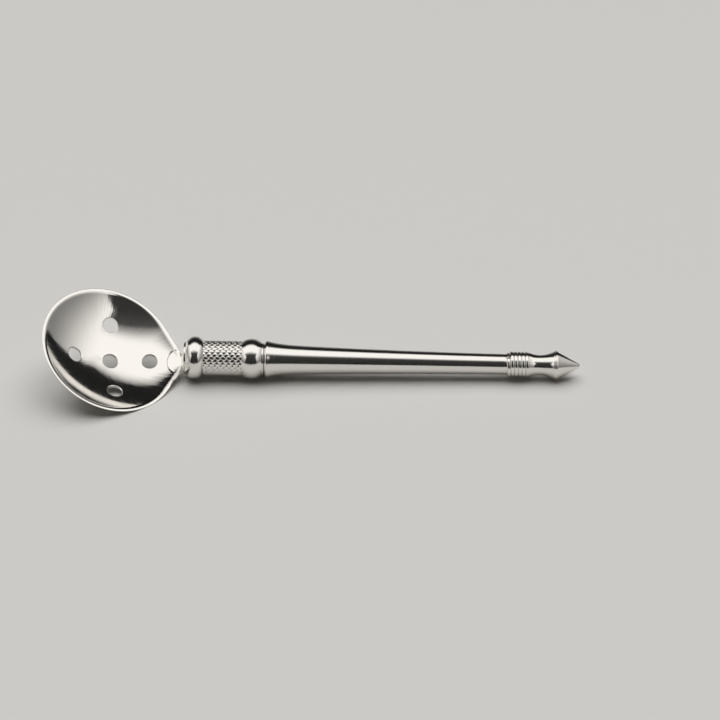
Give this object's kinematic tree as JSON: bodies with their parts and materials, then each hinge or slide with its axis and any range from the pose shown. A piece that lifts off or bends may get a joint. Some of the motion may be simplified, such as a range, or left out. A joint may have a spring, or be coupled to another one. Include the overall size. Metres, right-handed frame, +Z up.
{
  "type": "olive spoon",
  "caption": "Drilled egg-pointed serving spoon that drains olives, with a solid turned handle, a woven grip band, a tapered shank and a pointed finial.",
  "frame": {"origin": "on the surface that the spoon lies on, under the middle of its box", "axes": "+X runs along the handle from the bowl to the finial, +Z is up from the surface, and +Y is the side that the bowl's open face turns away from"},
  "size_m": [0.1778, 0.0434, 0.0267],
  "materials": {
    "bowl_plate": "polished",
    "handle_plate": "polished"
  },
  "bodies": {
    "root": {"bowl": "bowl_plate", "handle": "handle_plate"}
  },
  "joints": []
}
